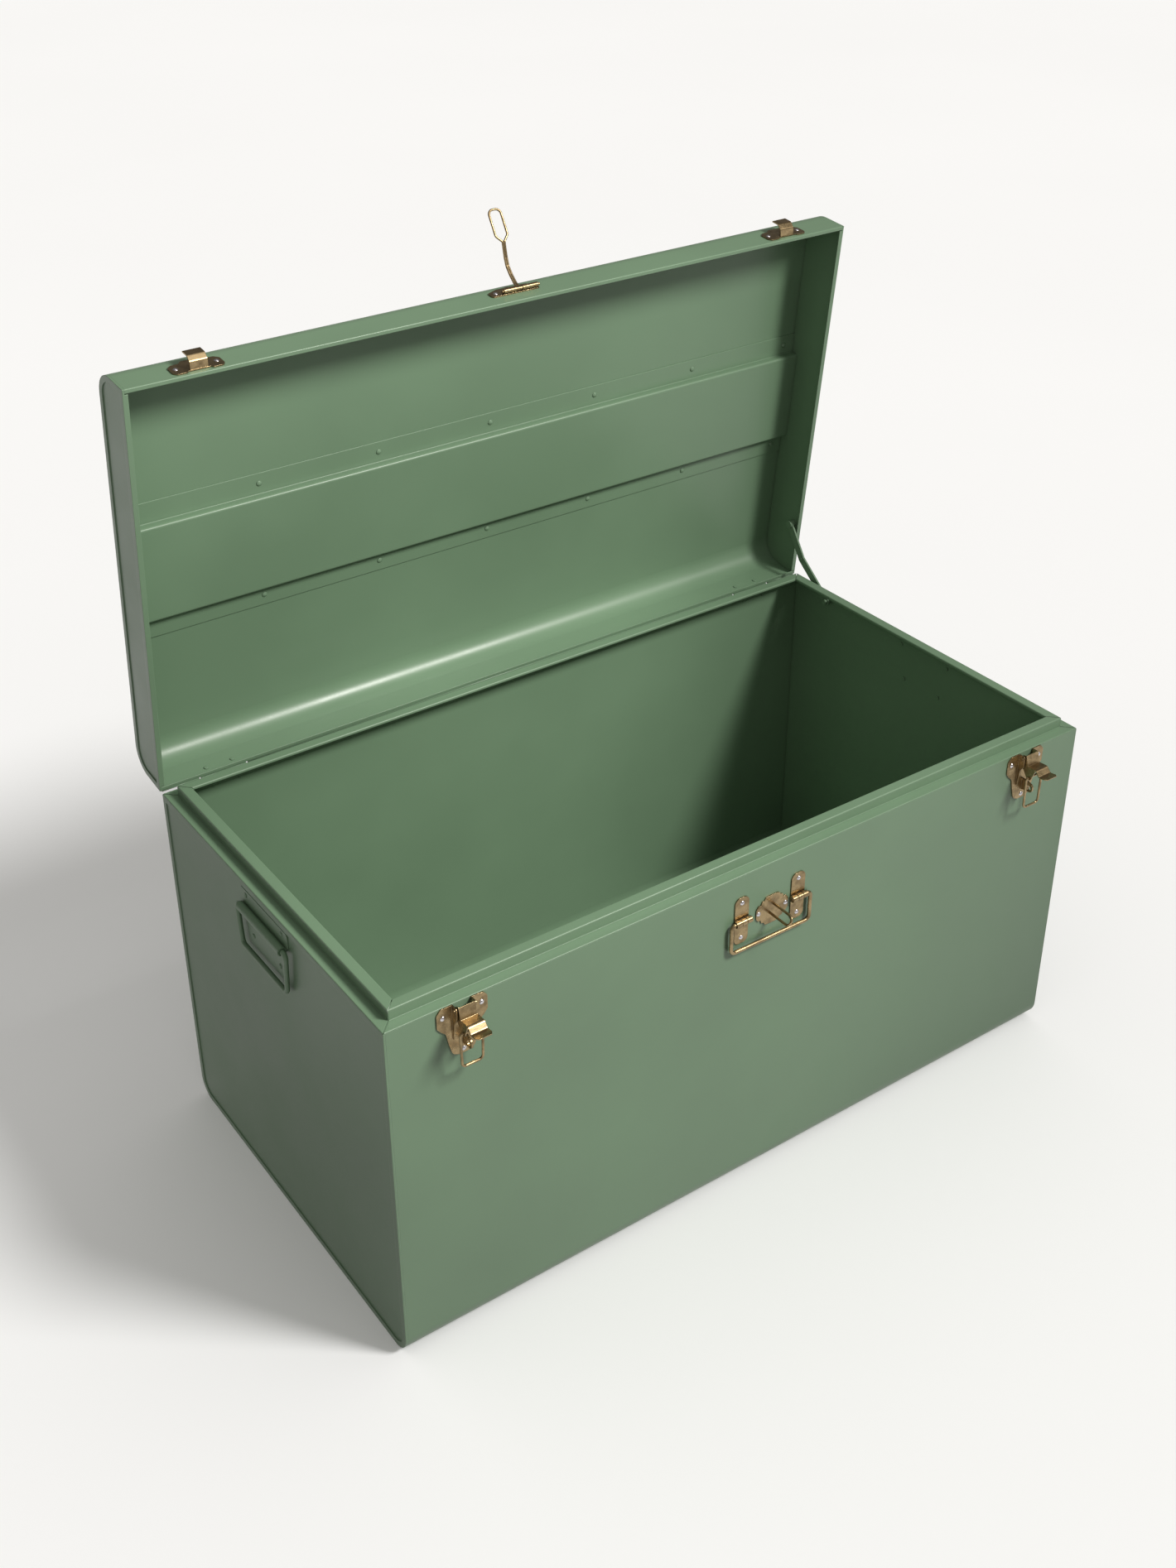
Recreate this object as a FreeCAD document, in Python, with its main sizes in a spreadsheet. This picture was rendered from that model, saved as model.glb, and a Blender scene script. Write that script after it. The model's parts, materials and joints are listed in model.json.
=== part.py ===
import FreeCAD, Part
import math
import os
import Sketcher

# Steel footlocker, standing open.  +X along the long side, +Y towards the hinges, +Z up.
# Origin: centre of the underside.  Lid parts are drawn shut and then swung open as one.

V = FreeCAD.Vector
os.makedirs("parts", exist_ok=True)
doc = FreeCAD.newDocument("footlocker")

SIZES = [
    ("body_length", 800.0, "outer length"),
    ("body_width", 423.0, "outer width, front to back"),
    ("ledge_height", 374.0, "top of the ledge the lid shuts on"),
    ("base_radius", 21.0, "bend between bottom and walls"),
    ("sheet", 1.0, "sheet thickness"),
    ("border", 6.0, "width of the raised border on an end panel"),
    ("ledge_width", 11.3, "ledge, wall to upstand"),
    ("upstand", 10.4, "upstand above the ledge"),
    ("rim_flange", 10.9, "flat top of the rim, pointing inwards"),
    ("rim_lip", 3.0, "turned-down inner edge of the rim"),
    ("corner_gap", 0.6, "half of the open seam at each rim corner"),
    ("lid_depth", 52.6, "lid, ledge to top"),
    ("lid_radius", 24.0, "bend between lid top and lid walls"),
    ("lid_angle", 84.0, "how far the lid stands open"),
    ("lid_lift", 0.3, "gap between a shut lid and the ledge"),
    ("lid_hem", 4.0, "inward flange along the open edge of the lid"),
    ("channel_half", 50.0, "half width of the channel in the lid"),
    ("channel_step", 8.5, "depth of the channel in the lid"),
    ("channel_lap", 22.0, "riveted lap beside the channel"),
    ("hinge_back", 2.3, "hinge axis behind the back wall"),
    ("hinge_drop", 3.0, "hinge axis below the ledge"),
    ("hinge_span", 666.0, "distance between hinge centres"),
    ("hinge_width", 48.0, "hinge width"),
    ("knuckle_radius", 2.0, "hinge knuckle, outside"),
    ("pin_radius", 1.05, "hinge pin"),
    ("running_gap", 0.05, "radial clearance of every pin in its hole"),
    ("latch_span", 654.0, "distance between latch centres"),
    ("plate", 1.2, "thickness of the stamped hardware"),
    ("lug_span", 66.4, "distance between the handle lugs"),
    ("handle_height", 324.5, "front handle axis above the floor"),
    ("handle_wire", 1.95, "front handle wire radius"),
    ("end_handle_height", 348.0, "end handle axis above the floor"),
    ("end_wire", 2.4, "end handle wire radius"),
    ("rivet_shank", 1.5, "rivet shank radius"),
]

sizes = doc.addObject("Spreadsheet::Sheet", "sizes")
for row, (alias, value, note) in enumerate(SIZES, start=1):
    sizes.set(f"A{row}", note)
    sizes.set(f"B{row}", str(value))
    sizes.setAlias(f"B{row}", alias)
doc.recompute()
S = {alias: float(sizes.get(alias)) for alias, _, _ in SIZES}

HALF_LENGTH = S["body_length"] / 2
HALF_WIDTH = S["body_width"] / 2
LEDGE = S["ledge_height"]
SHEET = S["sheet"]
PLATE = S["plate"]
GAP = S["running_gap"]
PANEL = HALF_LENGTH - 2 * SHEET
LID_BASE = LEDGE + S["lid_lift"]
LID_TOP = LEDGE + S["lid_depth"]
HINGE = V(0, HALF_WIDTH + S["hinge_back"], LEDGE - S["hinge_drop"])
FRONT = -HALF_WIDTH
FACE = FRONT - PLATE
LID_OPEN = FreeCAD.Placement(V(), FreeCAD.Rotation(V(1, 0, 0), -S["lid_angle"]), HINGE)
SIDES = (("left", -1), ("right", 1))
BEND = 1.2
nodes = []


# ---------------------------------------------------------------- drawing helpers
def rounded(points):
    """Closed outline through (x, y, corner radius), corners rounded."""
    count = len(points)
    trims = []
    for i, (x, y, radius) in enumerate(points):
        here = V(x, y, 0)
        before = V(points[i - 1][0], points[i - 1][1], 0) - here
        after = V(points[(i + 1) % count][0], points[(i + 1) % count][1], 0) - here
        before.normalize()
        after.normalize()
        if radius <= 0:
            trims.append((here, None, here))
            continue
        half = before.getAngle(after) / 2
        reach = radius / math.tan(half)
        bisector = (before + after).normalize()
        middle = here + bisector * (radius / math.sin(half) - radius)
        trims.append((here + before * reach, middle, here + after * reach))
    curves = []
    for i, (start, middle, end) in enumerate(trims):
        if middle is not None:
            curves.append(Part.Arc(start, middle, end))
        following = trims[(i + 1) % count][0]
        if (following - end).Length > 1e-6:
            curves.append(Part.LineSegment(end, following))
    return curves


def plain(points):
    """Closed outline with sharp corners."""
    return rounded([(x, y, 0) for x, y in points])


def circle(x, y, radius):
    return Part.Circle(V(x, y, 0), V(0, 0, 1), radius)


def band(points, width):
    """Outline of a flat strip along a bent centre line, with round ends."""
    half = width / 2
    left, right = [], []
    for i, point in enumerate(points):
        here = V(*point, 0)
        sides = []
        if i > 0:
            sides.append((here - V(*points[i - 1], 0)).normalize())
        if i < len(points) - 1:
            sides.append((V(*points[i + 1], 0) - here).normalize())
        along = V()
        for side in sides:
            along += side
        along.normalize()
        across = V(-along.y, along.x, 0) * (half / along.dot(sides[0]))
        left.append(here + across)
        right.append(here - across)
    tip = V(*points[-1], 0) + (V(*points[-1], 0) - V(*points[-2], 0)).normalize() * half
    heel = V(*points[0], 0) + (V(*points[0], 0) - V(*points[1], 0)).normalize() * half
    curves = [Part.LineSegment(a, b) for a, b in zip(left, left[1:])]
    curves.append(Part.Arc(left[-1], tip, right[-1]))
    curves += [Part.LineSegment(a, b) for a, b in zip(right[::-1], right[-2::-1])]
    curves.append(Part.Arc(right[0], heel, left[0]))
    return curves


def new_body(label):
    body = doc.addObject("PartDesign::Body", label)
    body.Label = label
    nodes.append(body)
    return body


def sketch_on(body, role, offset, curves):
    """Sketch on a plane of the body's origin, moved along that plane's normal."""
    sketch = body.newObject("Sketcher::SketchObject", f"{body.Name}_sketch")
    plane = next(f for f in body.Origin.OriginFeatures if f.Role == role)
    sketch.AttachmentSupport = (plane, [""])
    sketch.MapMode = "FlatFace"
    sketch.AttachmentOffset = FreeCAD.Placement(V(0, 0, offset), FreeCAD.Rotation())
    sketch.addGeometry(curves, False)
    return sketch


def extrude(body, kind, sketch, length, both=False, flip=False):
    feature = body.newObject(f"PartDesign::{kind}", f"{body.Name}_{kind.lower()}")
    feature.Profile = sketch
    if isinstance(length, str):
        feature.setExpression("Length", length)
    else:
        feature.Length = length
    feature.Reversed = flip
    if both:
        feature.SideType = "Symmetric"
    body.Tip = feature
    return feature


def front_holes(body, spots, radius, y=FRONT):
    """Round holes through the sheets near a plane facing the front."""
    curves = [circle(x, z, radius) for x, z in spots]
    extrude(body, "Pocket", sketch_on(body, "XZ_Plane", -y, curves), 6 * PLATE, both=True)


def end_holes(body, spots, radius, x):
    """Round holes through the sheets near a plane facing the ends."""
    curves = [circle(y, z, radius) for y, z in spots]
    extrude(body, "Pocket", sketch_on(body, "YZ_Plane", x, curves), 6 * PLATE, both=True)


def solid_node(label, shape):
    feature = doc.addObject("Part::Feature", label)
    feature.Label = label
    feature.Shape = shape
    nodes.append(feature)
    return feature


def pin_node(label, radius, length, centre):
    """Round pin along X, its length taken from the sheet."""
    pin = doc.addObject("Part::Cylinder", label)
    pin.Label = label
    pin.Radius = radius
    pin.Height = length
    turn = FreeCAD.Rotation(V(0, 1, 0), 90)
    pin.Placement = FreeCAD.Placement(centre - V(length / 2, 0, 0), turn)
    nodes.append(pin)
    return pin


def rivet(position, outward, grip, head=3.0, dome=1.5):
    """Domed rivet: head outside, shank through the sheets, upset tail inside."""
    shank = S["rivet_shank"]
    tail = 0.9
    sphere = (head * head + dome * dome) / (2 * dome)
    mid = math.asin(head / sphere) / 2
    arc = Part.Arc(
        V(head, 0, 0),
        V(sphere * math.sin(mid), 0, dome - sphere + sphere * math.cos(mid)),
        V(0, 0, dome),
    ).toShape()
    corners = [
        V(0, 0, dome),
        V(0, 0, -grip - tail),
        V(head * 0.8, 0, -grip - tail),
        V(head * 0.8, 0, -grip),
        V(shank, 0, -grip),
        V(shank, 0, 0),
        V(head, 0, 0),
    ]
    lines = [Part.LineSegment(a, b).toShape() for a, b in zip(corners, corners[1:])]
    face = Part.Face(Part.Wire(Part.__sortEdges__([arc] + lines)))
    solid = face.revolve(V(), V(0, 0, 1), 360)
    solid.Placement = FreeCAD.Placement(position, FreeCAD.Rotation(V(0, 0, 1), outward))
    return solid


def rivet_node(label, positions, outward, grip, **shape):
    return solid_node(label, Part.makeCompound([rivet(p, outward, grip, **shape) for p in positions]))


def bent_path(points, radii):
    """Edges along 3-D corner points, rounded at each inner corner by its own radius."""
    edges = []
    start = points[0]
    for before, here, after, radius in zip(points, points[1:], points[2:], radii):
        back = (before - here).normalize()
        forward = (after - here).normalize()
        half = back.getAngle(forward) / 2
        reach = radius / math.tan(half)
        middle = here + (back + forward).normalize() * (radius / math.sin(half) - radius)
        edges.append(Part.LineSegment(start, here + back * reach).toShape())
        edges.append(Part.Arc(here + back * reach, middle, here + forward * reach).toShape())
        start = here + forward * reach
    edges.append(Part.LineSegment(start, points[-1]).toShape())
    return edges


def wire_along(edges, radius):
    """Round wire swept along joined edges."""
    path = Part.Wire(edges)
    first = edges[0]
    direction = first.tangentAt(first.FirstParameter)
    ring = Part.Circle(first.valueAt(first.FirstParameter), direction, radius).toShape()
    return path.makePipeShell([Part.Wire([ring])], True, False)


# ---------------------------------------------------------------- shared positions
LATCHES = [(name, side, side * S["latch_span"] / 2) for name, side in SIDES]
HINGES = [(name, side, side * S["hinge_span"] / 2) for name, side in SIDES]
LATCH_EARS = 18.6
LATCH_RIVETS = [(-LATCH_EARS, 363.5), (LATCH_EARS, 363.5), (0.0, 324.0)]
KEEPER_EARS = 19.0
KEEPER_Z = 387.0
HASP_X = 5.3
STAPLE_X = 4.0
STAPLE_Z = 322.5
STAPLE_EARS = 15.9
HANDLE_X = 1.2
LUG_RIVETS = (-19.2, 19.2)
HINGE_RIVET_OFFSET = 14.0
HINGE_RIVET_BODY = 5.8
HINGE_RIVET_LID = 13.1
END_RIVETS = [(-34.5, 361.0), (34.5, 361.0), (-26.0, 321.0), (26.0, 321.0)]
HOLE = S["rivet_shank"] + GAP
BAND_RIVETS = [-384.0 + 128.0 * i for i in range(7)]
BAND_RIVET_Y = S["channel_half"] + S["channel_lap"] / 2
STAY_X = 391.6
STAY_THICK = 2.0
STAY_PIVOT = (220.6, 437.4)
STAY_BEND = (197.3, 402.0)
STAY_END = (152.0, 366.0)
STAY_HOLE = 2.5
SLOT = (143.5, 172.5)

body_front_spots = [(x + dx, z) for _, _, x in LATCHES for dx, z in LATCH_RIVETS]
lug_spots = [
    (HANDLE_X + side * S["lug_span"] / 2, S["handle_height"] + dz) for _, side in SIDES for dz in LUG_RIVETS
]
staple_spots = [(STAPLE_X - STAPLE_EARS, STAPLE_Z), (STAPLE_X + STAPLE_EARS, STAPLE_Z)]
keeper_spots = [(x + side * KEEPER_EARS, KEEPER_Z) for _, _, x in LATCHES for side in (-1, 1)]
hasp_spots = [(-18.5, 394.5), (20.0, 397.5)]


def hinge_spots(z):
    return [(x + side * HINGE_RIVET_OFFSET, z) for _, _, x in HINGES for side in (-1, 1)]


# ---------------------------------------------------------------- body of the trunk
def make_wrap():
    body = new_body("body_wrap")
    top = LEDGE - SHEET
    inner = S["base_radius"] - SHEET
    outline = rounded([
        (FRONT, top, 0),
        (FRONT, 0, S["base_radius"]),
        (HALF_WIDTH, 0, S["base_radius"]),
        (HALF_WIDTH, top, 0),
        (HALF_WIDTH - SHEET, top, 0),
        (HALF_WIDTH - SHEET, SHEET, inner),
        (FRONT + SHEET, SHEET, inner),
        (FRONT + SHEET, top, 0),
    ])
    extrude(body, "Pad", sketch_on(body, "YZ_Plane", 0, outline), "sizes.body_length - 4 * sizes.sheet",
            both=True)
    front_holes(body, body_front_spots + lug_spots + staple_spots, HOLE)
    front_holes(body, hinge_spots(HINGE.z - HINGE_RIVET_BODY), HOLE, y=HALF_WIDTH)


def end_outline(low, high, low_radius, high_radius, inset=0.0):
    return rounded([
        (FRONT + inset, low + inset, max(low_radius - inset, 0)),
        (HALF_WIDTH - inset, low + inset, max(low_radius - inset, 0)),
        (HALF_WIDTH - inset, high - inset, max(high_radius - inset, 0)),
        (FRONT + inset, high - inset, max(high_radius - inset, 0)),
    ])


def make_end(label, side, low, high, low_radius, high_radius):
    """Flat pan with a raised border all round."""
    body = new_body(label)
    x = side * PANEL
    flip = side < 0
    outline = end_outline(low, high, low_radius, high_radius)
    extrude(body, "Pad", sketch_on(body, "YZ_Plane", x, outline), "sizes.sheet", flip=flip)
    ring = outline + end_outline(low, high, low_radius, high_radius, inset=S["border"])
    ring_sketch = sketch_on(body, "YZ_Plane", x + side * SHEET, ring)
    extrude(body, "Pad", ring_sketch, "sizes.sheet", flip=flip)
    return body


def make_body_ends():
    for name, side in SIDES:
        body = make_end(f"end_panel_{name}", side, 0, LEDGE - SHEET, S["base_radius"], 0)
        end_holes(body, END_RIVETS, HOLE, side * PANEL)


def rim_profile(outer, inward):
    """Ledge, upstand, flat top and turned-down lip; inward is +1 or -1 along the sketch."""
    top = LEDGE + S["upstand"]
    a = S["ledge_width"]
    b = a + S["rim_flange"]
    points = [
        (0, LEDGE - SHEET, 0),
        (0, LEDGE, 0.9 * SHEET),
        (a, LEDGE, 0.4),
        (a, top, BEND),
        (b, top, BEND),
        (b, top - S["rim_lip"], 0.3),
        (b - SHEET, top - S["rim_lip"], 0.3),
        (b - SHEET, top - SHEET, 0.3),
        (a + SHEET, top - SHEET, 0.3),
        (a + SHEET, LEDGE - SHEET, 0),
    ]
    return rounded([(outer + inward * v, z, radius) for v, z, radius in points])


def make_long_rim(label, side):
    body = new_body(label)
    outer = side * HALF_WIDTH
    profile = sketch_on(body, "YZ_Plane", 0, rim_profile(outer, -side))
    extrude(body, "Pad", profile, "sizes.body_length", both=True)
    reach = 2 * (S["ledge_width"] + S["rim_flange"])
    wedges = []
    for end in (-1, 1):
        seam = HALF_LENGTH - S["corner_gap"]
        wedges += plain([
            (end * (seam + 2), outer + side * 2),
            (end * (seam - reach), outer - side * reach),
            (end * (HALF_LENGTH + 5), outer - side * reach),
            (end * (HALF_LENGTH + 5), outer + side * 2),
        ])
    extrude(body, "Pocket", sketch_on(body, "XY_Plane", LEDGE, wedges), 100, both=True)
    return body


def make_end_rim(label, side):
    body = new_body(label)
    outer = side * HALF_LENGTH
    profile = sketch_on(body, "XZ_Plane", 0, rim_profile(outer, -side))
    extrude(body, "Pad", profile, "sizes.body_width", both=True)
    reach = 2 * (S["ledge_width"] + S["rim_flange"])
    wedges = []
    for end in (-1, 1):
        seam = HALF_WIDTH - S["corner_gap"]
        wedges += plain([
            (outer + side * 2, end * (seam + 2)),
            (outer - side * reach, end * (seam - reach)),
            (outer - side * reach, end * (HALF_WIDTH + 5)),
            (outer + side * 2, end * (HALF_WIDTH + 5)),
        ])
    extrude(body, "Pocket", sketch_on(body, "XY_Plane", LEDGE, wedges), 100, both=True)
    return body


def make_rims():
    make_long_rim("rim_front", -1)
    make_long_rim("rim_back", 1)
    make_end_rim("rim_left", -1)
    slotted = make_end_rim("rim_right", 1)
    near, far = STAY_X - 1.2, STAY_X + STAY_THICK + 1.2
    slot = rounded([(near, SLOT[0], 1), (far, SLOT[0], 1), (far, SLOT[1], 1), (near, SLOT[1], 1)])
    extrude(slotted, "Pocket", sketch_on(slotted, "XY_Plane", LEDGE, slot), 8, both=True)


# ---------------------------------------------------------------- lid, drawn shut
def make_lid_skin(label, side):
    """Wall, top bend and top sheet up to the channel; side -1 is the front."""
    body = new_body(label)
    wall = side * HALF_WIDTH
    inner = wall - side * SHEET
    edge = side * (S["channel_half"] - SHEET)
    outline = rounded([
        (wall, LID_BASE, 0.9 * SHEET),
        (wall, LID_TOP, S["lid_radius"]),
        (edge, LID_TOP, 0),
        (edge, LID_TOP - SHEET, 0),
        (inner, LID_TOP - SHEET, S["lid_radius"] - SHEET),
        (inner, LID_BASE + SHEET, 0.3),
        (wall - side * S["lid_hem"], LID_BASE + SHEET, 0.3),
        (wall - side * S["lid_hem"], LID_BASE, 0.3),
    ])
    extrude(body, "Pad", sketch_on(body, "YZ_Plane", 0, outline), "sizes.body_length - 4 * sizes.sheet",
            both=True)
    curves = [circle(x, side * BAND_RIVET_Y, HOLE) for x in BAND_RIVETS]
    extrude(body, "Pocket", sketch_on(body, "XY_Plane", LID_TOP, curves), 6 * PLATE, both=True)
    return body


def make_lid():
    front = make_lid_skin("lid_front_skin", -1)
    front_holes(front, keeper_spots + hasp_spots, HOLE)
    back = make_lid_skin("lid_back_skin", 1)
    front_holes(back, hinge_spots(HINGE.z + HINGE_RIVET_LID), HOLE, y=HALF_WIDTH)

    channel = new_body("lid_channel")
    half = S["channel_half"]
    lap = half + S["channel_lap"]
    top = LID_TOP - SHEET
    floor = top - S["channel_step"]
    above = [
        (lap, top - SHEET, 0.3),
        (lap, top, 0),
        (half - SHEET, top, 1.8),
        (half - SHEET, floor, 1.5),
    ]
    below = [(half, floor - SHEET, 1.5 + SHEET), (half, top - SHEET, 0.8)]
    points = above + [(-y, z, r) for y, z, r in reversed(above)]
    points += [(-y, z, r) for y, z, r in reversed(below)] + below
    extrude(channel, "Pad", sketch_on(channel, "YZ_Plane", 0, rounded(points)),
            "sizes.body_length - 4 * sizes.sheet", both=True)
    curves = [circle(x, side * BAND_RIVET_Y, HOLE) for x in BAND_RIVETS for _, side in SIDES]
    extrude(channel, "Pocket", sketch_on(channel, "XY_Plane", top, curves), 6 * PLATE, both=True)

    ends = []
    for name, side in SIDES:
        end = make_end(f"lid_end_{name}", side, LID_BASE, LID_TOP, 0, S["lid_radius"])
        hem = S["lid_hem"] + SHEET
        strip = plain([
            (FRONT + hem, LID_BASE), (HALF_WIDTH - hem, LID_BASE),
            (HALF_WIDTH - hem, LID_BASE + SHEET), (FRONT + hem, LID_BASE + SHEET),
        ])
        extrude(end, "Pad", sketch_on(end, "YZ_Plane", side * PANEL, strip), 3.0, flip=side > 0)
        ends.append(end)
    pivot = LID_OPEN.inverse().multVec(V(0, *STAY_PIVOT))
    end_holes(ends[1], [(pivot.y, pivot.z)], STAY_HOLE, PANEL)
    return [front, back, channel] + ends


# ---------------------------------------------------------------- hinges
def make_hinge_leaf(label, centre, lid):
    """Leaf riveted to the outside of the wall, with its share of the three knuckles."""
    body = new_body(label)
    r = S["knuckle_radius"]
    wide = S["hinge_width"]
    third = wide / 3
    y0, y1 = HALF_WIDTH, HINGE.y - r + SHEET
    up = 1 if lid else -1
    reach = 21.0 if lid else 13.5
    curves = rounded([
        (y0, HINGE.z, 0), (y1, HINGE.z, 0), (y1, HINGE.z + up * reach, 0), (y0, HINGE.z + up * reach, 0),
    ])
    extrude(body, "Pad", sketch_on(body, "YZ_Plane", centre, curves), "sizes.hinge_width", both=True)
    extrude(body, "Pad", sketch_on(body, "YZ_Plane", centre, [circle(HINGE.y, HINGE.z, r)]),
            "sizes.hinge_width", both=True)
    clear = r + 0.4
    gone = [0] if not lid else [-1, 1]
    for index in gone:
        middle = centre + index * third
        width = third + 0.6 if not lid else third + 0.3
        shift = 0 if not lid else index * 0.15
        window = plain([
            (y0 - 1, HINGE.z - up * clear), (HINGE.y + clear, HINGE.z - up * clear),
            (HINGE.y + clear, HINGE.z + up * clear), (y0 - 1, HINGE.z + up * clear),
        ])
        extrude(body, "Pocket", sketch_on(body, "YZ_Plane", middle - shift, window), width, both=True)
    bore = circle(HINGE.y, HINGE.z, S["pin_radius"] + GAP)
    extrude(body, "Pocket", sketch_on(body, "YZ_Plane", centre, [bore]), 2 * wide, both=True)
    z = HINGE.z + (HINGE_RIVET_LID if lid else -HINGE_RIVET_BODY)
    spots = [(centre + side * HINGE_RIVET_OFFSET, z) for side in (-1, 1)]
    front_holes(body, spots, HOLE, y=y0)
    return body


def make_hinges():
    lid_leaves = []
    for name, _, x in HINGES:
        make_hinge_leaf(f"hinge_body_leaf_{name}", x, lid=False)
        lid_leaves.append(make_hinge_leaf(f"hinge_lid_leaf_{name}", x, lid=True))
        pin_node(f"hinge_pin_{name}", S["pin_radius"], S["hinge_width"] + 2.0, HINGE + V(x, 0, 0))
    return lid_leaves


# ---------------------------------------------------------------- latches
LATCH_PIN = (-217.6, 371.0)
LOOP_PIN = (-226.0, 352.5)
LATCH_PIN_RADIUS = 1.2
LOOP_WIRE = 1.2
CHEEK_INSIDE = 8.6
CHEEK = 1.2
LOOP_HALF = 10.8
LOOP_FOOT = 10.0
LOOP_DROP = 34.5
LEVER_WIDTH = 16.0
LEVER_WEB = 1.0
HOOK_WIDTH = 16.8


def mirrored(half, x):
    """Closed outline from its right half, drawn about x."""
    points = half + [(-dx, z, r) for dx, z, r in reversed(half)]
    return rounded([(x + dx, z, r) for dx, z, r in points])


def make_latch_base(name, x):
    """Winged plate with two cheeks for the lever pin and an eye for a padlock."""
    body = new_body(f"latch_base_{name}")
    half = [
        (CHEEK_INSIDE, 362.0, 0), (CHEEK_INSIDE, 373.4, 0.4), (20.5, 373.4, 2.5), (24.4, 368.5, 3),
        (24.4, 355.0, 3), (21.0, 350.4, 4), (16.4, 346.0, 5), (14.0, 334.0, 6), (10.8, 322.5, 5),
        (5.0, 319.6, 3),
    ]
    extrude(body, "Pad", sketch_on(body, "XZ_Plane", -FRONT, mirrored(half, x)), "sizes.plate")
    front_holes(body, [(x + dx, z) for dx, z in LATCH_RIVETS], HOLE)
    cheek = rounded([
        (FACE + 0.4, 338.0, 0), (-214.2, 338.0, 0.8), (-216.0, 356.0, 6), (-219.8, 362.0, 2.5),
        (-219.8, 373.4, 2), (FACE + 0.4, 373.4, 0),
    ])
    for side in (-1, 1):
        middle = x + side * (CHEEK_INSIDE + CHEEK / 2)
        extrude(body, "Pad", sketch_on(body, "YZ_Plane", middle, cheek), CHEEK, both=True)
    bore = circle(*LATCH_PIN, LATCH_PIN_RADIUS + GAP)
    extrude(body, "Pocket", sketch_on(body, "YZ_Plane", x, [bore]), 30, both=True)
    eye = rounded([(FACE + 0.4, 342.5, 0), (-218.0, 342.5, 3), (-226.6, 340.0, 4.2), (-226.6, 331.2, 4.2),
                   (-218.0, 331.0, 3), (FACE + 0.4, 329.5, 0)])
    extrude(body, "Pad", sketch_on(body, "YZ_Plane", x, eye + [circle(-221.9, 335.8, 2.7)]), 1.8, both=True)


def make_latch_lever(name, x):
    """Leaning face, shelf and finger lip in one sheet, on two side webs that carry pin and loop."""
    body = new_body(f"latch_lever_{name}")
    sheet = rounded([
        (-219.2, 374.4, 0), (-222.6, 362.9, 0.6), (-233.4, 363.6, 2), (-238.0, 358.2, 3),
        (-248.0, 360.0, 0), (-248.2, 361.0, 0), (-238.6, 359.4, 1.8), (-234.0, 364.7, 3),
        (-223.6, 364.0, 0.4), (-220.2, 374.7, 0),
    ])
    extrude(body, "Pad", sketch_on(body, "YZ_Plane", x, sheet), LEVER_WIDTH, both=True)
    web = rounded([
        (-215.2, 373.4, 1.5), (-219.6, 374.2, 0), (-223.0, 363.6, 0), (-232.6, 364.0, 0),
        (-232.6, 361.6, 1), (-228.4, 350.2, 2.2), (-223.8, 350.2, 2.2), (-215.2, 362.5, 2),
    ])
    for side in (-1, 1):
        middle = x + side * (LEVER_WIDTH - LEVER_WEB) / 2
        extrude(body, "Pad", sketch_on(body, "YZ_Plane", middle, web), LEVER_WEB, both=True)
    bores = [circle(*LATCH_PIN, LATCH_PIN_RADIUS + GAP), circle(*LOOP_PIN, LOOP_WIRE + GAP)]
    extrude(body, "Pocket", sketch_on(body, "YZ_Plane", x, bores), 30, both=True)
    trims = []
    for side in (-1, 1):
        edge = LEVER_WIDTH / 2 + 0.2
        trims += plain([(x + side * edge, -244.5), (x + side * edge, -250), (x + side * 5.0, -250)])
    extrude(body, "Pocket", sketch_on(body, "XY_Plane", 350.0, trims), 30, both=True)


def make_latch_loop(name, x):
    """Closed rounded rectangle of wire, its top bar through the lever webs."""
    y, top = LOOP_PIN
    low = top - LOOP_DROP
    halves = []
    for side in (-1, 1):
        path = bent_path([
            V(x, y, top), V(x + side * LOOP_HALF, y, top),
            V(x + side * LOOP_FOOT, y, low), V(x, y, low),
        ], [2.6, 4.0])
        halves.append(wire_along(path, LOOP_WIRE))
    solid_node(f"latch_loop_{name}", halves[0].fuse(halves[1]).removeSplitter())


def make_latches():
    for name, _, x in LATCHES:
        make_latch_base(name, x)
        make_latch_lever(name, x)
        pin_node(f"latch_pin_{name}", LATCH_PIN_RADIUS, 22.0, V(x, *LATCH_PIN))
        make_latch_loop(name, x)


def make_keeper(name, x):
    """Plate with two ears and a hook that opens away from the edge of the lid."""
    body = new_body(f"lid_keeper_{name}")
    half = [
        (10.6, 379.5, 0.5), (12.0, 377.6, 1), (21.5, 377.6, 2.5), (24.2, 381.0, 3), (24.2, 392.0, 3),
        (20.0, 396.0, 3), (12.0, 396.5, 2), (9.5, 400.0, 2),
    ]
    extrude(body, "Pad", sketch_on(body, "XZ_Plane", -FRONT, mirrored(half, x)), "sizes.plate")
    front_holes(body, [(x + side * KEEPER_EARS, KEEPER_Z) for side in (-1, 1)], HOLE)
    hook = rounded([
        (FACE + 0.4, 380.2, 0), (-219.6, 381.2, 3.5), (-224.0, 386.0, 3), (-224.2, 395.5, 0.5),
        (-222.9, 395.6, 0.5), (-222.7, 386.9, 2), (-219.0, 382.7, 2.4), (FACE + 0.4, 381.7, 0),
    ])
    extrude(body, "Pad", sketch_on(body, "YZ_Plane", x, hook), HOOK_WIDTH, both=True)
    return body


# ---------------------------------------------------------------- hasp, staple, handles
HASP_PIN = (-215.0, 391.0)
HASP_PIN_RADIUS = 1.25
HASP_KNUCKLE = 2.5
HASP_SLEEVE = 2.0
HASP_WIRE = 1.15
STEM_HALF = 1.0
EYE_HALF = 6.6
EYE_LENGTH = 32.3
EYE_ANGLE = 143.2
STEM = [(0, 0), (-2.7, 6.9), (-8.0, 14.0), (-14.4, 20.5), (-21.8, 24.0), (-29.6, 26.6), (-35.8, 28.5)]


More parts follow.
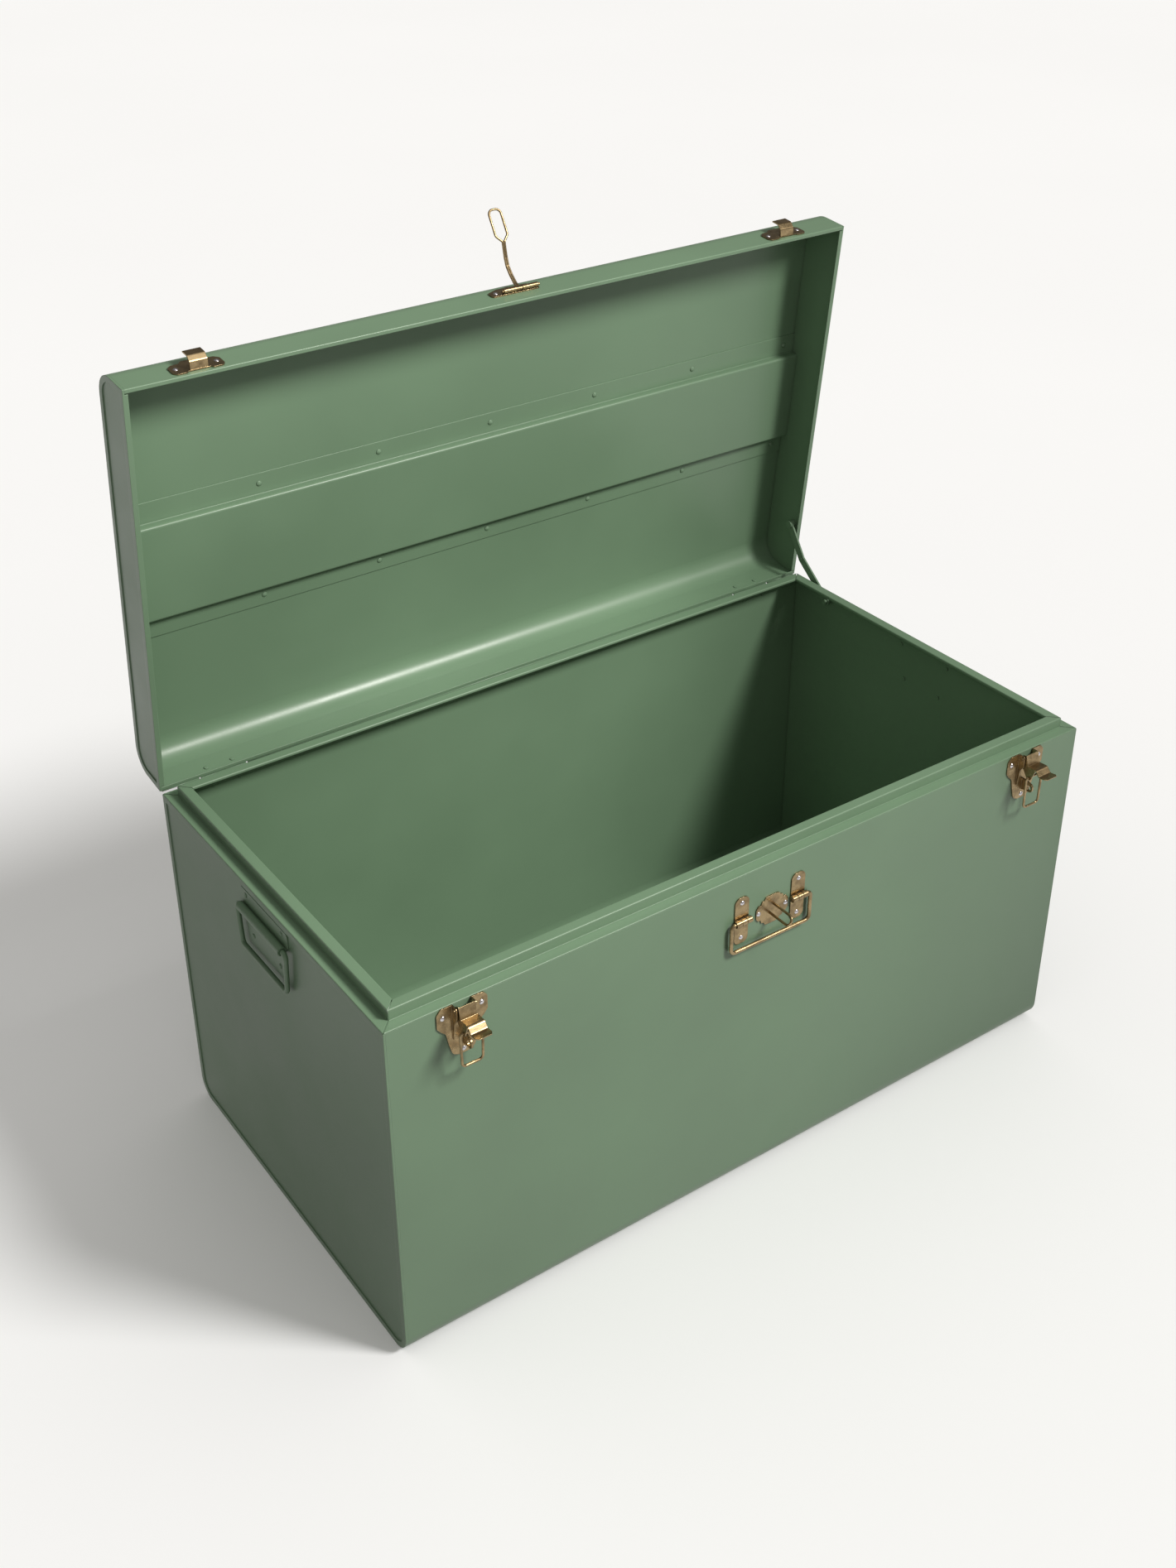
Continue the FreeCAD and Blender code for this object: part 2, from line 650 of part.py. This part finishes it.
def make_hasp_plate():
    body = new_body("hasp_plate")
    z = HASP_PIN[1]
    outline = rounded([
        (-25, z - 2.4, 2.5), (-25, z + 7, 3), (-13, z + 11.5, 3), (19, z + 11.5, 3), (28, z + 7, 3),
        (28, z - 2.4, 2.5),
    ])
    extrude(body, "Pad", sketch_on(body, "XZ_Plane", -FRONT, outline), "sizes.plate")
    front_holes(body, hasp_spots, HOLE)
    for start, end in ((-12.0, HASP_X - 3.4), (HASP_X + 3.4, 26.0)):
        barrel = [circle(*HASP_PIN, HASP_KNUCKLE)]
        middle = sketch_on(body, "YZ_Plane", (start + end) / 2, barrel)
        extrude(body, "Pad", middle, end - start, both=True)
    bore = circle(*HASP_PIN, HASP_PIN_RADIUS + GAP)
    extrude(body, "Pocket", sketch_on(body, "YZ_Plane", 0, [bore]), 80, both=True)
    return body


def make_hasp():
    """One wire bent double: sleeve on the pin, curved stem, long eye."""
    pivot = V(HASP_X, *HASP_PIN)
    stem = [pivot + V(0, dy, dz) for dy, dz in STEM]
    neck = stem[-1]
    tilt = math.radians(EYE_ANGLE)
    along = V(0, math.cos(tilt), math.sin(tilt))
    halves = []
    for side in (-1, 1):
        shift = V(side * STEM_HALF, 0, 0)
        wide = V(side * EYE_HALF, 0, 0)
        tip = neck + along * (EYE_LENGTH - HASP_WIRE)
        corners = [point + shift for point in stem] + [neck + along * 6.0 + wide, tip + wide, tip]
        edges = bent_path(corners, [6.0, 6.0, 6.0, 6.0, 6.0, 2.0, 4.0, 5.2])
        halves.append(wire_along(edges, HASP_WIRE))
    sleeve = Part.makeCylinder(HASP_SLEEVE, 6.0, pivot - V(3.0, 0, 0), V(1, 0, 0))
    bore = Part.makeCylinder(HASP_PIN_RADIUS + GAP, 10.0, pivot - V(5.0, 0, 0), V(1, 0, 0))
    shape = halves[0].fuse([halves[1], sleeve]).cut(bore).removeSplitter()
    return solid_node("hasp", shape)


STAPLE_HALF = 4.8
STAPLE_REACH = 26.0
STAPLE_WIRE = 1.25


def make_staple():
    plate = new_body("staple_plate")
    half = [(4.0, 15.6, 2), (8.0, 15.0, 1), (9.6, 12.0, 0.8), (12.0, 12.0, 1), (13.4, 8.0, 0.8),
            (16.0, 8.6, 1), (18.6, 5.0, 1), (18.6, -5.0, 1), (16.0, -8.6, 1), (13.4, -8.0, 0.8),
            (12.0, -12.0, 1), (9.6, -12.0, 0.8), (8.0, -15.0, 1), (4.0, -15.6, 2)]
    outline = half + [(-x, z, r) for x, z, r in reversed(half)]
    outline = [(STAPLE_X + x, STAPLE_Z + z, r) for x, z, r in outline]
    extrude(plate, "Pad", sketch_on(plate, "XZ_Plane", -FRONT, rounded(outline)), "sizes.plate")
    front_holes(plate, staple_spots, HOLE)
    lean = math.radians(25.0)
    feet = [V(math.sin(lean), 0, math.cos(lean)) * (side * STAPLE_HALF) for side in (1, -1)]
    reach = V(0, -STAPLE_REACH, 0)
    centre = V(STAPLE_X, FACE, STAPLE_Z)
    corners = [centre + feet[0], centre + feet[0] + reach, centre + feet[1] + reach, centre + feet[1]]
    solid_node("staple_loop", wire_along(bent_path(corners, [4.6, 4.6]), STAPLE_WIRE))


LUG_HALF = 8.0
LUG_TALL = 25.5
LUG_BARREL = 3.2
BAIL_AXIS = FACE - 2.6
BAIL_HALF = 46.5
BAIL_DROP = 31.0


def make_lug(name, x):
    """Round-ended plate with a grooved barrel for the end of the bail."""
    body = new_body(f"handle_lug_{name}")
    z = S["handle_height"]
    half = LUG_HALF
    corners = [(-half, -LUG_TALL), (half, -LUG_TALL), (half, LUG_TALL), (-half, LUG_TALL)]
    outline = rounded([(x + dx, z + dz, 6) for dx, dz in corners])
    extrude(body, "Pad", sketch_on(body, "XZ_Plane", -FRONT, outline), "sizes.plate")
    front_holes(body, [(x, z + dz) for dz in LUG_RIVETS], HOLE)
    axis_y = BAIL_AXIS
    barrel = [circle(axis_y, z, LUG_BARREL)]
    extrude(body, "Pad", sketch_on(body, "YZ_Plane", x, barrel), 2 * half + 2, both=True)
    for offset in (-3.0, 3.0):
        ring = [circle(axis_y, z, LUG_BARREL + 0.3), circle(axis_y, z, LUG_BARREL - 0.4)]
        extrude(body, "Pocket", sketch_on(body, "YZ_Plane", x + offset, ring), 0.9, both=True)
    fill = plain([(FRONT, z - 3.1), (FACE, z - 3.1), (FACE, z + 3.1), (FRONT, z + 3.1)])
    extrude(body, "Pad", sketch_on(body, "YZ_Plane", x, fill), 2 * half, both=True)
    bore = circle(axis_y, z, S["handle_wire"] + GAP)
    extrude(body, "Pocket", sketch_on(body, "YZ_Plane", x, [bore]), 40, both=True)


def make_front_bail():
    y = BAIL_AXIS
    z = S["handle_height"]
    half, low = BAIL_HALF, z - BAIL_DROP
    inner = S["lug_span"] / 2 - LUG_HALF - 1
    corners = [(-inner, z), (-half, z), (-half, low), (half, low), (half, z), (inner, z)]
    path = bent_path([V(HANDLE_X + x, y, height) for x, height in corners], [4.0, 5.0, 5.0, 4.0])
    solid_node("front_bail", wire_along(path, S["handle_wire"]))


END_AXIS = 5.0


def make_end_plate(name, side):
    body = new_body(f"end_handle_plate_{name}")
    z = S["end_handle_height"]
    face = side * (PANEL + SHEET)
    outline = rounded([(-45, 366.5, 3), (45, 366.5, 3), (45, z + 4, 2), (37, z - 6, 2), (35, 310, 4),
                       (-35, 310, 4), (-37, z - 6, 2), (-45, z + 4, 2)])
    extrude(body, "Pad", sketch_on(body, "YZ_Plane", face, outline), "sizes.plate", flip=side < 0)
    axis_x = face + side * END_AXIS
    barrel = [circle(axis_x, z, 4.4)]
    extrude(body, "Pad", sketch_on(body, "XZ_Plane", 0, barrel), 82.0, both=True)
    bore = circle(axis_x, z, S["end_wire"] + GAP)
    extrude(body, "Pocket", sketch_on(body, "XZ_Plane", 0, [bore]), 120, both=True)
    end_holes(body, END_RIVETS, HOLE, face)


def make_end_bail(name, side):
    x = side * (PANEL + SHEET + END_AXIS)
    z = S["end_handle_height"]
    path = bent_path([
        V(x, -32, z), V(x, -47.5, z), V(x, -43.5, z - 44), V(x, 43.5, z - 44), V(x, 47.5, z), V(x, 32, z),
    ], [5.0] * 4)
    solid_node(f"end_bail_{name}", wire_along(path, S["end_wire"]))


# ---------------------------------------------------------------- stay
def make_stay():
    """Bent strap, hung on the lid and sliding through a slot in the ledge."""
    strap = new_body("stay")
    outline = band([STAY_PIVOT, STAY_BEND, STAY_END], 9.0)
    extrude(strap, "Pad", sketch_on(strap, "YZ_Plane", STAY_X, outline), STAY_THICK)
    stop = sketch_on(strap, "YZ_Plane", STAY_X + STAY_THICK / 2, [circle(*STAY_END, 3.0)])
    extrude(strap, "Pad", stop, 8.4, both=True)
    bump = sketch_on(strap, "YZ_Plane", STAY_X, [circle(*STAY_BEND, 2.2)])
    extrude(strap, "Pad", bump, 0.8, flip=True)
    hole = sketch_on(strap, "YZ_Plane", STAY_X, [circle(*STAY_PIVOT, STAY_HOLE)])
    extrude(strap, "Pocket", hole, 20, both=True)


def make_stay_stud():
    """Shouldered stud through the lid's end panel; built in place for the open lid."""
    centre = V(0, *STAY_PIVOT)
    pin = STAY_HOLE - GAP

    def disc(radius, x0, x1):
        return Part.makeCylinder(radius, abs(x1 - x0), centre + V(min(x0, x1), 0, 0), V(1, 0, 0))

    head = disc(4.4, STAY_X - 1.5, STAY_X - 0.3)
    shank = disc(pin, STAY_X - 0.3, PANEL + SHEET)
    shoulder = disc(4.4, STAY_X + STAY_THICK + 0.3, PANEL)
    outside = disc(3.6, PANEL + SHEET, PANEL + SHEET + 0.9)
    solid_node("stay_stud", head.fuse([shank, shoulder, outside]).removeSplitter())


# ---------------------------------------------------------------- rivets
def make_rivets():
    out = V(0, -1, 0)
    grip = SHEET + PLATE
    brass = body_front_spots + lug_spots + staple_spots
    rivet_node("rivets_body_front", [V(x, FACE, z) for x, z in brass], out, grip, head=2.5, dome=1.3)
    green = [V(side * (PANEL + SHEET + PLATE), y, z) for _, side in SIDES for y, z in END_RIVETS]
    solids = [rivet(p, V(math.copysign(1, p.x), 0, 0), grip, head=2.6, dome=1.3) for p in green]
    solid_node("rivets_end_handles", Part.makeCompound(solids))
    leaf = HINGE.y - S["knuckle_radius"] + SHEET
    low = [V(x, leaf, z) for x, z in hinge_spots(HINGE.z - HINGE_RIVET_BODY)]
    rivet_node("rivets_hinge_body", low, V(0, 1, 0), leaf - HALF_WIDTH + SHEET, head=2.6, dome=1.2)

    high = [V(x, leaf, z) for x, z in hinge_spots(HINGE.z + HINGE_RIVET_LID)]
    on_lid = [
        rivet_node("rivets_hinge_lid", high, V(0, 1, 0), leaf - HALF_WIDTH + SHEET, head=2.6, dome=1.2),
        rivet_node("rivets_lid_front", [V(x, FACE, z) for x, z in keeper_spots + hasp_spots], out, grip,
                   head=2.5, dome=1.3),
    ]
    low_side = LID_TOP - 2 * SHEET
    band = [V(x, side * BAND_RIVET_Y, low_side) for x in BAND_RIVETS for _, side in SIDES]
    on_lid.append(rivet_node("rivets_lid_band", band, V(0, 0, -1), 2 * SHEET, head=3.0, dome=1.1))
    return on_lid


# ---------------------------------------------------------------- build
make_wrap()
make_body_ends()
make_rims()
lid_nodes = make_lid()
lid_nodes += make_hinges()
make_latches()
lid_nodes += [make_keeper(name, x) for name, _, x in LATCHES]
lid_nodes.append(make_hasp_plate())
lid_nodes.append(pin_node("hasp_pin", HASP_PIN_RADIUS, 42.0, V(7.5, *HASP_PIN)))
lid_nodes.append(make_hasp())
make_staple()
for name, side in SIDES:
    make_lug(name, HANDLE_X + side * S["lug_span"] / 2)
    make_end_plate(name, side)
    make_end_bail(name, side)
make_front_bail()
make_stay()
make_stay_stud()
lid_nodes += make_rivets()
for lid_node in lid_nodes:
    lid_node.Placement = LID_OPEN.multiply(lid_node.Placement)
doc.recompute()

for obj in doc.Objects:
    if any(word in obj.State for word in ("Invalid", "Error")):
        raise RuntimeError(f"{obj.Label}: {obj.State}")
for node in nodes:
    shape = node.Shape
    if shape.isNull() or not shape.isValid() or shape.Volume <= 0:
        raise RuntimeError(f"{node.Label}: no valid solid")
    box = shape.BoundBox
    spans = f"{box.XLength:.1f} x {box.YLength:.1f} x {box.ZLength:.1f} mm"
    print(f"{node.Label}: {len(shape.Solids)} solids, {shape.Volume:.0f} mm3, {spans}")
    shape.exportStep(f"parts/{node.Label}.step")
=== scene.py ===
import json
import math

import bpy
from mathutils import Matrix, Vector


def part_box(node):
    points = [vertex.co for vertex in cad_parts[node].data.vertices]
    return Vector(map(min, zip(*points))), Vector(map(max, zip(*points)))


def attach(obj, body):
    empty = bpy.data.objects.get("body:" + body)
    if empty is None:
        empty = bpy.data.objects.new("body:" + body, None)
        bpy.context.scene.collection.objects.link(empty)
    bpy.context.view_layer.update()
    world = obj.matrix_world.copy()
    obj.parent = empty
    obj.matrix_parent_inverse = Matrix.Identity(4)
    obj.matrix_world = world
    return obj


# Steel footlocker, standing open on a pale floor.  Metres, in the part's own frame.

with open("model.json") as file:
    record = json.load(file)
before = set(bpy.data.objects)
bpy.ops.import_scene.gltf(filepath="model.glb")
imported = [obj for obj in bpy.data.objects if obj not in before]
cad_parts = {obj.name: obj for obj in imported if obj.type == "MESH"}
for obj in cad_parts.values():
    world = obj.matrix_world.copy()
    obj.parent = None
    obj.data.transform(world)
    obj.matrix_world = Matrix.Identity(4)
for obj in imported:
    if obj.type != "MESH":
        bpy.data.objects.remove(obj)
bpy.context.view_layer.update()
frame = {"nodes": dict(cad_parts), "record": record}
scene = bpy.context.scene
nodes = frame["nodes"]

MM = 0.001


# ---------------------------------------------------------------- node helpers
class Graph:
    """Short calls for building one material's node tree."""

    def __init__(self, name):
        self.material = bpy.data.materials.new(name)
        self.material.use_nodes = True
        self.tree = self.material.node_tree
        self.tree.nodes.clear()
        self.place = self.add("ShaderNodeTexCoord").outputs["Object"]

    def add(self, kind, **settings):
        node = self.tree.nodes.new(kind)
        for key, value in settings.items():
            setattr(node, key, value)
        return node

    def feed(self, socket, value):
        if isinstance(value, bpy.types.NodeSocket):
            self.tree.links.new(value, socket)
        else:
            socket.default_value = value

    def noise(self, scale, detail=3.0, roughness=0.5, stretch=None):
        place = self.place
        if stretch:
            mapping = self.add("ShaderNodeMapping")
            mapping.inputs["Scale"].default_value = stretch
            self.feed(mapping.inputs["Vector"], place)
            place = mapping.outputs["Vector"]
        node = self.add("ShaderNodeTexNoise")
        self.feed(node.inputs["Vector"], place)
        node.inputs["Scale"].default_value = scale
        node.inputs["Detail"].default_value = detail
        node.inputs["Roughness"].default_value = roughness
        return node.outputs["Fac"]

    def math(self, kind, first, second=None, clamp=False):
        node = self.add("ShaderNodeMath", operation=kind, use_clamp=clamp)
        self.feed(node.inputs[0], first)
        if second is not None:
            self.feed(node.inputs[1], second)
        return node.outputs[0]

    def spread(self, value, low, high, to_low=0.0, to_high=1.0):
        node = self.add("ShaderNodeMapRange")
        self.feed(node.inputs["Value"], value)
        for key, number in zip(("From Min", "From Max", "To Min", "To Max"), (low, high, to_low, to_high)):
            node.inputs[key].default_value = number
        return node.outputs["Result"]

    def mix(self, amount, first, second):
        node = self.add("ShaderNodeMix", data_type="RGBA")
        self.feed(node.inputs["Factor"], amount)
        for socket, colour in zip(node.inputs[6:8], (first, second)):
            self.feed(socket, colour if isinstance(colour, bpy.types.NodeSocket) else (*colour, 1.0))
        return node.outputs[2]

    def bump(self, height, distance, strength=1.0, normal=None):
        node = self.add("ShaderNodeBump")
        node.inputs["Strength"].default_value = strength
        node.inputs["Distance"].default_value = distance
        self.feed(node.inputs["Height"], height)
        if normal is not None:
            self.feed(node.inputs["Normal"], normal)
        return node.outputs["Normal"]

    def edges(self, radius):
        """1 where the surface turns sharply within the radius, 0 on the flat."""
        bevel = self.add("ShaderNodeBevel", samples=6)
        bevel.inputs["Radius"].default_value = radius
        geometry = self.add("ShaderNodeNewGeometry")
        dot = self.add("ShaderNodeVectorMath", operation="DOT_PRODUCT")
        self.feed(dot.inputs[0], bevel.outputs["Normal"])
        self.feed(dot.inputs[1], geometry.outputs["Normal"])
        return self.spread(dot.outputs["Value"], 0.97, 0.80), bevel.outputs["Normal"]

    def crevice(self, distance):
        """1 in corners and under overlapping sheets, 0 in the open."""
        node = self.add("ShaderNodeAmbientOcclusion", samples=6)
        node.inputs["Distance"].default_value = distance
        return self.spread(node.outputs["AO"], 0.75, 0.25)

    def finish(self, colour, roughness, normal, **constants):
        shader = self.add("ShaderNodeBsdfPrincipled")
        self.feed(shader.inputs["Base Color"], colour)
        self.feed(shader.inputs["Roughness"], roughness)
        self.feed(shader.inputs["Normal"], normal)
        for key, number in constants.items():
            shader.inputs[key.replace("_", " ")].default_value = number
        out = self.add("ShaderNodeOutputMaterial")
        self.tree.links.new(shader.outputs[0], out.inputs[0])
        return self.material


# ---------------------------------------------------------------- materials
def paint(name, base, gloss=0.36, wear_and_highlight=0.35):
    """Satin enamel on sheet steel: slow colour drift, orange peel, soft dents, rubbed folds that also
    carry a painted highlight, and painted shade in corners.
    """
    g = Graph(name)
    light = tuple(min(1.0, c * 1.09 + 0.006) for c in base)
    deep = tuple(c * 0.90 for c in base)
    colour = g.mix(g.spread(g.noise(2.3, 4.0), 0.35, 0.65), deep, light)
    speck = g.spread(g.noise(520.0, 2.0), 0.72, 0.80)
    colour = g.mix(g.math("MULTIPLY", speck, 0.25), colour, tuple(c * 0.7 for c in base))
    # Folds and edges are lightened: partly rubbed paint, partly a painted highlight along the rounded
    # folds.
    edge, soft_normal = g.edges(0.9 * MM)
    wear_and_highlight_mask = g.math("MULTIPLY", edge, g.spread(g.noise(38.0, 4.0), 0.40, 0.62, 0.25, 1.0))
    colour = g.mix(g.math("MULTIPLY", wear_and_highlight_mask, wear_and_highlight), colour, tuple(min(1.0, c * 1.7 + 0.05) for c in base))
    # Painted shade: ambient occlusion darkens corners and the joints under overlapping sheets towards 0.35
    # of the base colour.
    colour = g.mix(g.math("MULTIPLY", g.crevice(5 * MM), 0.45), colour, tuple(c * 0.35 for c in base))
    smudge = g.spread(g.noise(9.0, 5.0, 0.6), 0.3, 0.7, gloss - 0.05, gloss + 0.07)
    grain = g.spread(g.noise(900.0, 2.0), 0.3, 0.7, -0.02, 0.02)
    roughness = g.math("ADD", smudge, grain)
    peel = g.bump(g.noise(430.0, 2.0), 0.05 * MM, 0.35, soft_normal)
    waves = g.bump(g.noise(5.5, 1.5), 1.6 * MM, 0.30, peel)
    return g.finish(colour, roughness, waves, Specular_IOR_Level=0.5)


def brass(name, base, dark, gloss=0.26, tarnish=0.7):
    """Thin brass plate on pressed steel: brown tarnish, bright rubbed edges, fine scratches."""
    g = Graph(name)
    bright = tuple(min(1.0, c * 1.18 + 0.03) for c in base)
    stain = g.spread(g.noise(90.0, 5.0, 0.65), 0.42, 0.70)
    colour = g.mix(g.math("MULTIPLY", stain, tarnish), base, dark)
    edge, soft_normal = g.edges(0.45 * MM)
    colour = g.mix(g.math("MULTIPLY", edge, 0.7), colour, bright)
    colour = g.mix(g.math("MULTIPLY", g.crevice(4 * MM), 0.6), colour, tuple(c * 0.35 for c in dark))
    scratch = g.noise(260.0, 4.0, 0.6, stretch=(1.0, 1.0, 9.0))
    roughness = g.math("ADD", g.spread(stain, 0.0, 1.0, gloss, gloss + 0.16),
                       g.spread(scratch, 0.35, 0.65, -0.04, 0.06))
    fine = g.bump(scratch, 0.03 * MM, 0.35, soft_normal)
    dents = g.bump(g.noise(120.0, 2.0), 0.25 * MM, 0.35, fine)
    return g.finish(colour, roughness, dents, Metallic=1.0)


def steel(name, base):
    """Bright domed rivets with a little dulling."""
    g = Graph(name)
    dull = tuple(c * 0.62 for c in base)
    spots = g.spread(g.noise(700.0, 3.0), 0.45, 0.65)
    edge, soft_normal = g.edges(0.3 * MM)
    colour = g.mix(g.math("MULTIPLY", spots, 0.5), base, dull)
    colour = g.mix(g.math("MULTIPLY", edge, 0.4), colour, tuple(min(1.0, c * 1.25) for c in base))
    roughness = g.spread(g.noise(350.0, 3.0), 0.3, 0.7, 0.18, 0.34)
    return g.finish(colour, roughness, g.bump(g.noise(600.0), 0.04 * MM, 0.4, soft_normal), Metallic=1.0)


SAGE = (0.183, 0.292, 0.182)
PAINT = paint("sage_enamel", SAGE)
BRASS = brass("brass_plate", (0.37, 0.275, 0.15), (0.10, 0.068, 0.035))
RIVET = steel("rivet_steel_bright", (0.66, 0.63, 0.66))
FINISHES = {"green_paint": PAINT, "brass": BRASS, "rivet_steel": RIVET}


def assign_finishes():
    for row in frame["record"]["subparts"]:
        target = nodes[row["node"]]
        for material_slot in target.material_slots:
            material_slot.material = FINISHES[row["material_slot"]]


# ---------------------------------------------------------------- rolled hem behind the hinge gap
def make_hem():
    """Guessed bead along the hinge edge of the lid, interrupted at the two hinges.

    It closes the line of floor that would show between the open lid and the back rim.
    """
    low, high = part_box("lid_back_skin")
    leaf_low, leaf_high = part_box("hinge_lid_leaf_right")
    back, drop = 0.9 * MM, 0.6 * MM
    y, z = low[1] + back, low[2] - drop
    radius, margin, sides = 0.8 * MM, 2.0 * MM, 16
    inner, outer = leaf_low[0] - margin, leaf_high[0] + margin
    spans = [(low[0], -outer), (-inner, inner), (outer, high[0])]
    verts, faces = [], []
    for start, end in spans:
        base = len(verts)
        for x in (start, end):
            for i in range(sides):
                turn = 2 * math.pi * i / sides
                verts.append((x, y + radius * math.cos(turn), z + radius * math.sin(turn)))
        for i in range(sides):
            j = (i + 1) % sides
            faces.append((base + i, base + sides + i, base + sides + j, base + j))
        faces.append(tuple(base + i for i in range(sides)))
        faces.append(tuple(base + sides + i for i in reversed(range(sides))))
    mesh = bpy.data.meshes.new("lid_hem_bead")
    mesh.from_pydata(verts, [], faces)
    for face in mesh.polygons:
        face.use_smooth = len(face.vertices) == 4
    mesh.materials.append(PAINT)
    hem = bpy.data.objects.new("lid_hem_bead", mesh)
    scene.collection.objects.link(hem)
    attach(hem, "lid")


# ---------------------------------------------------------------- floor, light, camera
def collection_of(name, *objects):
    group = bpy.data.collections.new(name)
    for item in objects:
        group.objects.link(item)
    return group


def make_floor():
    g = Graph("pale_floor")
    tint = g.mix(g.spread(g.noise(0.6, 3.0), 0.3, 0.7), (0.935, 0.928, 0.915), (0.95, 0.943, 0.93))
    normal = g.bump(g.noise(180.0, 3.0), 0.1 * MM, 0.2)
    material = g.finish(tint, 0.85, normal, Specular_IOR_Level=0.1)
    bpy.ops.mesh.primitive_plane_add(size=80.0, location=(0, 0, 0))
    floor = bpy.context.object
    floor.name = "studio_floor"
    floor.data.materials.append(material)
    floor.visible_diffuse = False
    return floor


def aim(item, position, target):
    item.location = position
    item.rotation_mode = "QUATERNION"
    item.rotation_quaternion = (Vector(target) - Vector(position)).to_track_quat("-Z", "Y")


def make_light(name, kind, energy, position, target, **settings):
    data = bpy.data.lights.new(name, kind)
    data.energy = energy
    for key, value in settings.items():
        setattr(data, key, value)
    lamp = bpy.data.objects.new(name, data)
    scene.collection.objects.link(lamp)
    aim(lamp, position, target)
    return lamp


KEY_AT = (1.06, -1.83, 2.50)
KEY_TARGET = (-0.32, 0.05, 0.62)
FILL_AT = (-2.4, -2.6, 2.2)
TOP_AT = (0.2, -0.4, 3.4)
FLOOR_SUN_TARGET = (-0.40, -0.21, 0.384)
WORLD_STRENGTH = 0.18


def light_scene(floor):
    """Key, fill and top light the trunk; two suns light only the floor."""
    on_floor = collection_of("lit_floor", floor)
    off_floor = collection_of("lit_object", floor)
    off_floor.collection_objects[0].light_linking.link_state = "EXCLUDE"

    key = make_light("key", "SPOT", 385.0, KEY_AT, KEY_TARGET, shadow_soft_size=0.42,
                     spot_size=math.radians(39), spot_blend=0.587, color=(1.0, 0.98, 0.94))
    fill = make_light("fill", "AREA", 8.0, FILL_AT, (0, 0, 0.4), shape="DISK", size=1.8,
                      color=(1.0, 0.95, 0.86))
    top = make_light("top", "AREA", 10.0, TOP_AT, (0, 0.1, 0.3), shape="DISK", size=2.0)
    for lamp in (key, fill, top):
        lamp.light_linking.receiver_collection = off_floor

    sun = make_light("floor_sun", "SUN", 2.25, KEY_AT, FLOOR_SUN_TARGET, angle=math.radians(15))
    sky = make_light("floor_sky", "SUN", 1.06, (0, 0, 3), (0, 0, 0), angle=math.radians(150))
    for lamp in (sun, sky):
        lamp.light_linking.receiver_collection = on_floor

    world = bpy.data.worlds.new("studio")
    scene.world = world
    world.use_nodes = True
    world.node_tree.nodes["Background"].inputs["Color"].default_value = (1.0, 0.97, 0.91, 1.0)
    world.node_tree.nodes["Background"].inputs["Strength"].default_value = WORLD_STRENGTH


CAMERA_AT = (-0.9098, -1.2122, 1.3347)
CAMERA_TURN = (33.89, 29.80, -0.87)  # heading, dip and roll in degrees
LENS = 41.9474  # mm, on a 36 mm sensor
LENS_SHIFT = (0.025644, -0.067487)


def make_camera():
    """Three-quarter view from above the front left corner."""
    heading, dip, roll = (math.radians(angle) for angle in CAMERA_TURN)
    ahead = Vector((math.sin(heading) * math.cos(dip), math.cos(heading) * math.cos(dip), -math.sin(dip)))
    right = Vector((math.cos(heading), -math.sin(heading), 0))
    up = right.cross(ahead)
    x_axis = math.cos(roll) * right + math.sin(roll) * up
    y_axis = -math.sin(roll) * right + math.cos(roll) * up
    data = bpy.data.cameras.new("camera")
    data.sensor_fit = "AUTO"
    data.sensor_width = 36.0
    data.lens = LENS
    data.shift_x, data.shift_y = LENS_SHIFT
    data.clip_start, data.clip_end = 0.05, 100.0
    camera = bpy.data.objects.new("camera", data)
    scene.collection.objects.link(camera)
    turn = Matrix((x_axis, y_axis, -ahead)).transposed()
    camera.matrix_world = Matrix.Translation(CAMERA_AT) @ turn.to_4x4()
    scene.camera = camera


assign_finishes()
make_hem()
light_scene(make_floor())
make_camera()
scene.view_settings.view_transform = "Standard"
scene.view_settings.look = "None"
